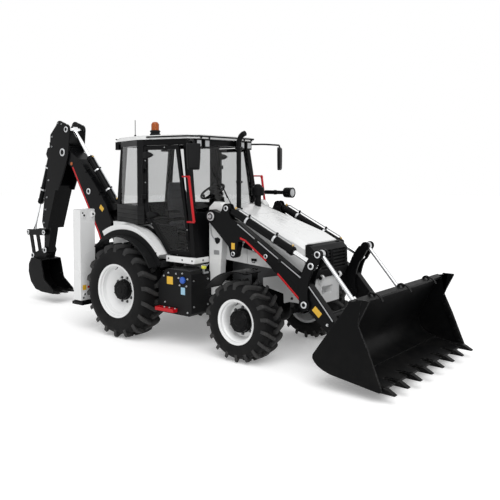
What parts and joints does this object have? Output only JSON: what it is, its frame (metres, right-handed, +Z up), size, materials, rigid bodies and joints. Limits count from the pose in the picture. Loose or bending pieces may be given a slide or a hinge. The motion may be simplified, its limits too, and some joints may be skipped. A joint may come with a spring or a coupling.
{
  "type": "backhoe loader",
  "caption": "Wheeled backhoe loader with a glazed cab, front loader bucket on linked arms and a side-shift hoe at the rear; joints for wheels, steering, doors, hood, arms and buckets.",
  "frame": {"origin": "middle of the bounding box in plan, on the ground under the wheels", "axes": "+X forward towards the loader bucket, +Y to the machine's left, +Z up"},
  "size_m": [8.315, 2.4, 3.3848],
  "materials": {
    "black_paint": "satin",
    "white_paint": "gloss",
    "red_paint": "satin",
    "black_plastic": "matt",
    "bucket_paint": "matt",
    "glass": "clear",
    "rubber": "matt",
    "rod_chrome": "polished",
    "steel": "satin",
    "seat_cloth": "matt",
    "engine_paint": "matt",
    "amber_lens": "gloss"
  },
  "bodies": {
    "chassis": {"chassis_frame": "black_paint", "hoe_frame": "black_paint", "tie_lugs": "black_paint", "engine_block": "engine_paint", "loader_towers": "white_paint", "cowl": "white_paint", "nose_weight": "white_paint", "cab_floor": "white_paint", "cab_frame": "black_paint", "cab_roof": "white_paint", "cab_glass": "glass", "seat": "seat_cloth", "controls": "black_plastic", "fender_trim": "black_plastic", "tanks": "black_plastic", "steps_handles": "red_paint", "stacks": "black_paint", "lamps": "black_paint", "beacon": "amber_lens", "mirrors": "black_paint", "leg_tubes": "white_paint"},
    "hood": {"hood": "white_paint", "grille": "black_plastic"},
    "door_left": {"door_left": "black_paint", "door_left_glass": "glass"},
    "door_right": {"door_right": "black_paint", "door_right_glass": "glass"},
    "knuckle_left": {"knuckle_left": "black_paint"},
    "knuckle_right": {"knuckle_right": "black_paint"},
    "wheel_front_left": {"tyre_front_left": "rubber", "rim_front_left": "white_paint"},
    "wheel_front_right": {"tyre_front_right": "rubber", "rim_front_right": "white_paint"},
    "wheel_rear_left": {"tyre_rear_left": "rubber", "rim_rear_left": "white_paint"},
    "wheel_rear_right": {"tyre_rear_right": "rubber", "rim_rear_right": "white_paint"},
    "loader_arms": {"loader_arms": "black_paint"},
    "lift_barrels": {"lift_barrels": "black_paint"},
    "lift_rods": {"lift_rods": "rod_chrome"},
    "levers": {"levers": "black_paint"},
    "tilt_barrels": {"tilt_barrels": "black_paint"},
    "tilt_rods": {"tilt_rods": "rod_chrome"},
    "bucket_links": {"bucket_links": "steel"},
    "loader_bucket": {"loader_bucket": "bucket_paint"},
    "carriage": {"carriage": "black_paint"},
    "swing_post": {"swing_post": "black_paint"},
    "boom": {"boom": "black_paint"},
    "boom_barrel": {"boom_barrel": "black_paint"},
    "boom_rod": {"boom_rod": "rod_chrome"},
    "dipper": {"dipper": "black_paint"},
    "dipper_barrel": {"dipper_barrel": "black_paint"},
    "dipper_rod": {"dipper_rod": "rod_chrome"},
    "rocker": {"rocker": "black_paint"},
    "hoe_link": {"hoe_link": "black_paint"},
    "hoe_barrel": {"hoe_barrel": "black_paint"},
    "hoe_rod": {"hoe_rod": "rod_chrome"},
    "hoe_bucket": {"hoe_bucket": "bucket_paint"},
    "stabiliser_left": {"stabiliser_left": "black_paint"},
    "stabiliser_right": {"stabiliser_right": "black_paint"}
  },
  "joints": [
    {"name": "steer_left", "type": "hinge", "parent": "chassis", "child": "knuckle_left", "pos_m": [1.8575, 0.6, 0.53], "axis": [0, 0, 1], "range_deg": [-40, 40]},
    {"name": "steer_right", "type": "hinge", "parent": "chassis", "child": "knuckle_right", "pos_m": [1.8575, -0.6, 0.53], "axis": [0, 0, 1], "range_deg": [-40.5, 40.5]},
    {"name": "wheel_front_left_spin", "type": "hinge", "parent": "knuckle_left", "child": "wheel_front_left", "pos_m": [1.8575, 0.805, 0.53], "axis": [0, 1, 0], "continuous": true},
    {"name": "wheel_front_right_spin", "type": "hinge", "parent": "knuckle_right", "child": "wheel_front_right", "pos_m": [1.8575, -0.805, 0.53], "axis": [0, 1, 0], "continuous": true},
    {"name": "wheel_rear_left_spin", "type": "hinge", "parent": "chassis", "child": "wheel_rear_left", "pos_m": [-0.3425, 0.91, 0.7], "axis": [0, 1, 0], "continuous": true},
    {"name": "wheel_rear_right_spin", "type": "hinge", "parent": "chassis", "child": "wheel_rear_right", "pos_m": [-0.3425, -0.91, 0.7], "axis": [0, 1, 0], "continuous": true},
    {"name": "hood_tilt", "type": "hinge", "parent": "chassis", "child": "hood", "pos_m": [2.6625, 0, 1.085], "axis": [0, 1, 0], "range_deg": [0, 60]},
    {"name": "door_left_open", "type": "hinge", "parent": "chassis", "child": "door_left", "pos_m": [-0.0075, 0.862, 2], "axis": [0, 0, 1], "range_deg": [0, 80]},
    {"name": "door_right_open", "type": "hinge", "parent": "chassis", "child": "door_right", "pos_m": [-0.0075, -0.862, 2], "axis": [0, 0, -1], "range_deg": [0, 80]},
    {"name": "loader_lift", "type": "hinge", "parent": "chassis", "child": "loader_arms", "pos_m": [1.1275, 0, 1.84], "axis": [0, -1, 0], "range_deg": [-3, 72]},
    {"name": "lift_barrels_swing", "type": "hinge", "parent": "chassis", "child": "lift_barrels", "pos_m": [1.3375, 0, 1.52], "axis": [0, -1, 0], "range_deg": [-4.26, 79.29]},
    {"name": "lift_rods_stroke", "type": "slide", "parent": "lift_barrels", "child": "lift_rods", "axis": [0.9774, 0, -0.2113], "range_m": [-0.0212, 0.4407]},
    {"name": "loader_tilt", "type": "hinge", "parent": "loader_arms", "child": "loader_bucket", "pos_m": [3.1375, 0, 0.51], "axis": [0, 1, 0], "range_deg": [-22, 90]},
    {"name": "levers_swing", "type": "hinge", "parent": "loader_arms", "child": "levers", "pos_m": [2.6975, 0, 0.81], "axis": [0, 1, 0], "range_deg": [-15.37, 59.77]},
    {"name": "bucket_links_swing", "type": "hinge", "parent": "levers", "child": "bucket_links", "pos_m": [2.8915, 0, 1.45], "axis": [0, 1, 0], "range_deg": [-33.84, 9.03]},
    {"name": "tilt_barrels_swing", "type": "hinge", "parent": "loader_arms", "child": "tilt_barrels", "pos_m": [1.4025, 0, 1.96], "axis": [0, 1, 0], "range_deg": [-1.49, 3.01]},
    {"name": "tilt_rods_stroke", "type": "slide", "parent": "tilt_barrels", "child": "tilt_rods", "axis": [0.9039, 0, -0.4277], "range_m": [-0.1198, 0.4808]},
    {"name": "side_shift", "type": "slide", "parent": "chassis", "child": "carriage", "axis": [0, 1, 0], "range_m": [-0.5, 0.5]},
    {"name": "swing", "type": "hinge", "parent": "carriage", "child": "swing_post", "pos_m": [-1.5525, 0, 1], "axis": [0, 0, -1], "range_deg": [-90, 90]},
    {"name": "boom_lower", "type": "hinge", "parent": "swing_post", "child": "boom", "pos_m": [-1.6425, 0, 0.95], "axis": [0, -1, 0], "range_deg": [-20, 85]},
    {"name": "boom_barrel_swing", "type": "hinge", "parent": "swing_post", "child": "boom_barrel", "pos_m": [-1.4925, 0, 1.3], "axis": [0, -1, 0], "range_deg": [-20.49, 83.84]},
    {"name": "boom_rod_stroke", "type": "slide", "parent": "boom_barrel", "child": "boom_rod", "axis": [-0.6516, 0, 0.7586], "range_m": [-0.1179, 0.4915]},
    {"name": "dipper_reach", "type": "hinge", "parent": "boom", "child": "dipper", "pos_m": [-2.8925, 0, 2.81], "axis": [0, 1, 0], "range_deg": [-20, 75]},
    {"name": "dipper_barrel_swing", "type": "hinge", "parent": "boom", "child": "dipper_barrel", "pos_m": [-1.5825, 0, 1.86], "axis": [0, 1, 0], "range_deg": [-1.59, 3.21]},
    {"name": "dipper_rod_stroke", "type": "slide", "parent": "dipper_barrel", "child": "dipper_rod", "axis": [-0.6616, 0, 0.7498], "range_m": [-0.5086, 0.1378]},
    {"name": "hoe_bucket_open", "type": "hinge", "parent": "dipper", "child": "hoe_bucket", "pos_m": [-3.5925, 0, 0.97], "axis": [0, 1, 0], "range_deg": [-50, 65]},
    {"name": "rocker_swing", "type": "hinge", "parent": "dipper", "child": "rocker", "pos_m": [-3.5825, 0, 1.31], "axis": [0, 1, 0], "range_deg": [-42.21, 54.57]},
    {"name": "hoe_link_swing", "type": "hinge", "parent": "rocker", "child": "hoe_link", "pos_m": [-4.1025, 0, 1.29], "axis": [0, 1, 0], "range_deg": [-39.38, 30.53]},
    {"name": "hoe_barrel_swing", "type": "hinge", "parent": "dipper", "child": "hoe_barrel", "pos_m": [-3.4825, 0, 2.83], "axis": [0, 1, 0], "range_deg": [-4.9, 6.08]},
    {"name": "hoe_rod_stroke", "type": "slide", "parent": "hoe_barrel", "child": "hoe_rod", "axis": [-0.3735, 0, -0.9276], "range_m": [-0.4265, 0.3287]},
    {"name": "stabiliser_left_down", "type": "slide", "parent": "chassis", "child": "stabiliser_left", "axis": [0, 0, -1], "range_m": [0, 0.55]},
    {"name": "stabiliser_right_down", "type": "slide", "parent": "chassis", "child": "stabiliser_right", "axis": [0, 0, -1], "range_m": [0, 0.55]}
  ],
  "couplings": [
    {"joint": "steer_right", "follows": "steer_left", "ratio": 1},
    {"joint": "lift_barrels_swing", "follows": "loader_lift", "ratio": 1.0874},
    {"joint": "lift_rods_stroke", "follows": "loader_lift", "m_per_rad": 0.34833},
    {"joint": "levers_swing", "follows": "loader_tilt", "ratio": 0.65297},
    {"joint": "bucket_links_swing", "follows": "loader_tilt", "ratio": -0.3649},
    {"joint": "tilt_barrels_swing", "follows": "loader_tilt", "ratio": 0.02237},
    {"joint": "tilt_rods_stroke", "follows": "loader_tilt", "m_per_rad": 0.30416},
    {"joint": "boom_barrel_swing", "follows": "boom_lower", "ratio": 0.97458},
    {"joint": "boom_rod_stroke", "follows": "boom_lower", "m_per_rad": 0.32929},
    {"joint": "dipper_barrel_swing", "follows": "dipper_reach", "ratio": 0.02944},
    {"joint": "dipper_rod_stroke", "follows": "dipper_reach", "m_per_rad": -0.38628},
    {"joint": "rocker_swing", "follows": "hoe_bucket_open", "ratio": 0.82417},
    {"joint": "hoe_link_swing", "follows": "hoe_bucket_open", "ratio": -0.59052},
    {"joint": "hoe_barrel_swing", "follows": "hoe_bucket_open", "ratio": 0.07809},
    {"joint": "hoe_rod_stroke", "follows": "hoe_bucket_open", "m_per_rad": -0.37328}
  ]
}
